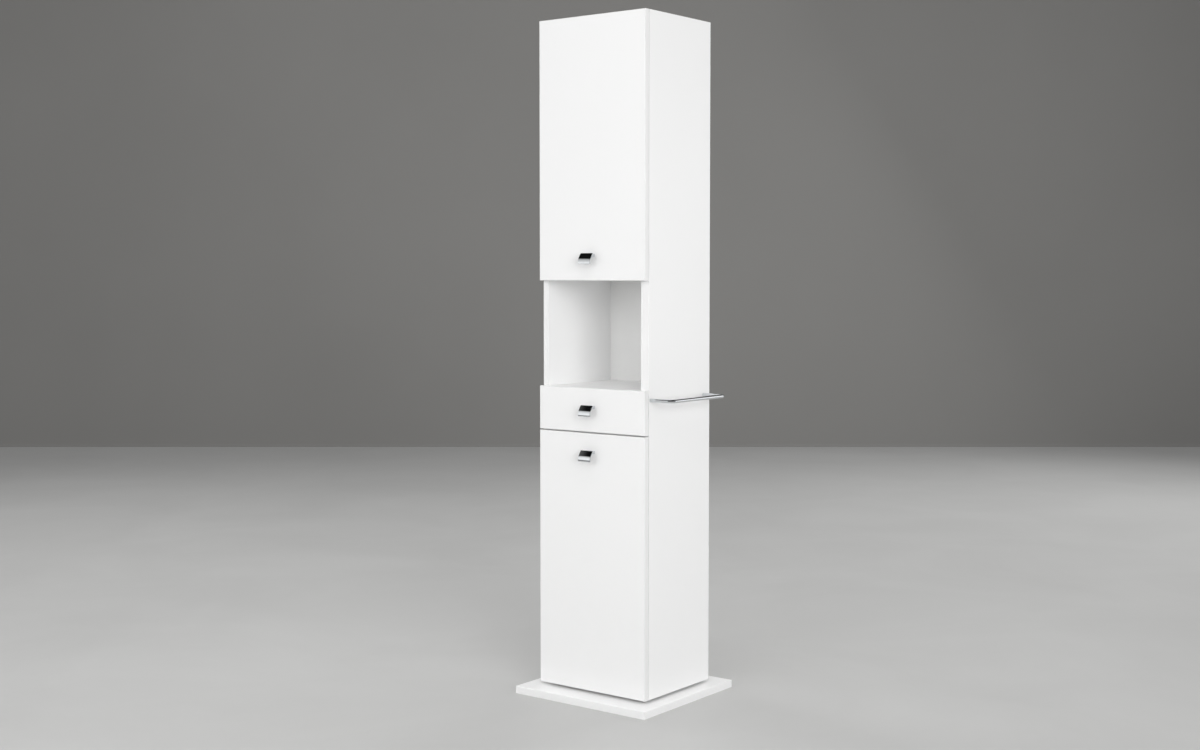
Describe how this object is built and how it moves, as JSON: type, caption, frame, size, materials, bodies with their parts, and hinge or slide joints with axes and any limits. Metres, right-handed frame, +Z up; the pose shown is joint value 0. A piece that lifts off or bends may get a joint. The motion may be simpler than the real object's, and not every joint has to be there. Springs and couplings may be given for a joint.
{
  "type": "tall swivel cabinet",
  "caption": "Tall white bathroom cabinet that swivels on a base plate, with overlay doors, an open niche, a drawer, chrome pulls and a towel rail on its side.",
  "frame": {"origin": "on the floor, on the swivel axis at the centre of the base plate", "axes": "+Z up, fronts towards -Y, towel rail towards +X"},
  "size_m": [0.462, 0.41, 1.808],
  "materials": {
    "white_board": "particle board faced with white satin foil",
    "white_front": "fibreboard front with white satin lacquer",
    "white_back": "thin fibreboard with a white printed face",
    "drawer_board": "particle board wrapped in white foil",
    "chrome": "polished chrome plate",
    "nickel_steel": "pressed steel, nickel plated",
    "zinc_steel": "rolled steel, bright zinc plated",
    "zinc_cast": "die-cast zinc, raw",
    "screw_steel": "steel screws, zinc plated",
    "bearing_steel": "ground steel",
    "cage_plastic": "moulded black plastic",
    "beech_dowel": "fluted beech, raw",
    "bumper_rubber": "clear soft bumper"
  },
  "bodies": {
    "base": {"base_plate": "white_board", "bearing_lower_plate": "zinc_steel", "bearing_rivet": "zinc_steel", "bearing_lower_screws": "screw_steel"},
    "ball_ring": {"bearing_balls": "bearing_steel", "bearing_cage": "cage_plastic"},
    "cabinet": {"bearing_upper_plate": "zinc_steel", "bearing_upper_screws": "screw_steel", "left_side_panel": "white_board", "right_side_panel": "white_board", "top_panel": "white_board", "bottom_panel": "white_board", "niche_ceiling": "white_board", "niche_floor": "white_board", "drawer_divider": "white_board", "back_panel": "white_back", "upper_shelf_low": "white_board", "upper_shelf_high": "white_board", "lower_shelf": "white_board", "shelf_pins": "nickel_steel", "cam_locks": "zinc_cast", "cam_bolts": "screw_steel", "dowels": "beech_dowel", "towel_rail": "chrome", "towel_rail_screws": "screw_steel", "hinge_plates": "nickel_steel", "hinge_arms": "nickel_steel", "hinge_plate_screws": "screw_steel", "runner_outer_rails": "zinc_steel", "runner_outer_screws": "screw_steel", "back_panel_screws": "screw_steel"},
    "upper_links": {"upper_hinge_links": "nickel_steel", "upper_hinge_pins": "bearing_steel"},
    "upper_door": {"upper_door_panel": "white_front", "upper_hinge_cups": "nickel_steel", "upper_cup_screws": "screw_steel", "upper_door_pull": "chrome", "upper_pull_screws": "screw_steel", "upper_door_bumpers": "bumper_rubber"},
    "lower_links": {"lower_hinge_links": "nickel_steel", "lower_hinge_pins": "bearing_steel"},
    "lower_door": {"lower_door_panel": "white_front", "lower_hinge_cups": "nickel_steel", "lower_cup_screws": "screw_steel", "lower_door_pull": "chrome", "lower_pull_screws": "screw_steel", "lower_door_bumpers": "bumper_rubber"},
    "runner_middle": {"runner_middle_rails": "zinc_steel"},
    "drawer": {"drawer_front": "white_front", "drawer_box_front": "drawer_board", "drawer_box_left": "drawer_board", "drawer_box_right": "drawer_board", "drawer_box_back": "drawer_board", "drawer_bottom": "white_back", "drawer_pull": "chrome", "drawer_pull_screws": "screw_steel", "drawer_front_screws": "screw_steel", "runner_inner_rails": "zinc_steel"}
  },
  "joints": [
    {"name": "cabinet_swivel", "type": "hinge", "parent": "base", "child": "cabinet", "pos_m": [0, 0, 0.024], "axis": [0, 0, 1], "continuous": true},
    {"name": "ball_ring_turn", "type": "hinge", "parent": "base", "child": "ball_ring", "pos_m": [0, 0, 0.024], "axis": [0, 0, 1], "continuous": true},
    {"name": "upper_link_swing", "type": "hinge", "parent": "cabinet", "child": "upper_links", "pos_m": [-0.143, -0.14125, 1.4625], "axis": [0, 0, -1], "range_deg": [-49.7, 0]},
    {"name": "upper_door_swing", "type": "hinge", "parent": "upper_links", "child": "upper_door", "pos_m": [-0.162, -0.13575, 1.4625], "axis": [0, 0, -1], "range_deg": [0, 142]},
    {"name": "lower_link_swing", "type": "hinge", "parent": "cabinet", "child": "lower_links", "pos_m": [-0.143, -0.14125, 0.3715], "axis": [0, 0, -1], "range_deg": [-49.7, 0]},
    {"name": "lower_door_swing", "type": "hinge", "parent": "lower_links", "child": "lower_door", "pos_m": [-0.162, -0.13575, 0.3715], "axis": [0, 0, -1], "range_deg": [0, 142]},
    {"name": "drawer_slide", "type": "slide", "parent": "cabinet", "child": "drawer", "axis": [0, -1, 0], "range_m": [0, 0.21]},
    {"name": "runner_extend", "type": "slide", "parent": "cabinet", "child": "runner_middle", "axis": [0, -1, 0], "range_m": [0, 0.105]}
  ],
  "couplings": [
    {"joint": "ball_ring_turn", "follows": "cabinet_swivel", "ratio": 0.5},
    {"joint": "upper_link_swing", "follows": "upper_door_swing", "ratio": -0.35},
    {"joint": "lower_link_swing", "follows": "lower_door_swing", "ratio": -0.35},
    {"joint": "runner_extend", "follows": "drawer_slide", "ratio": 0.5}
  ]
}
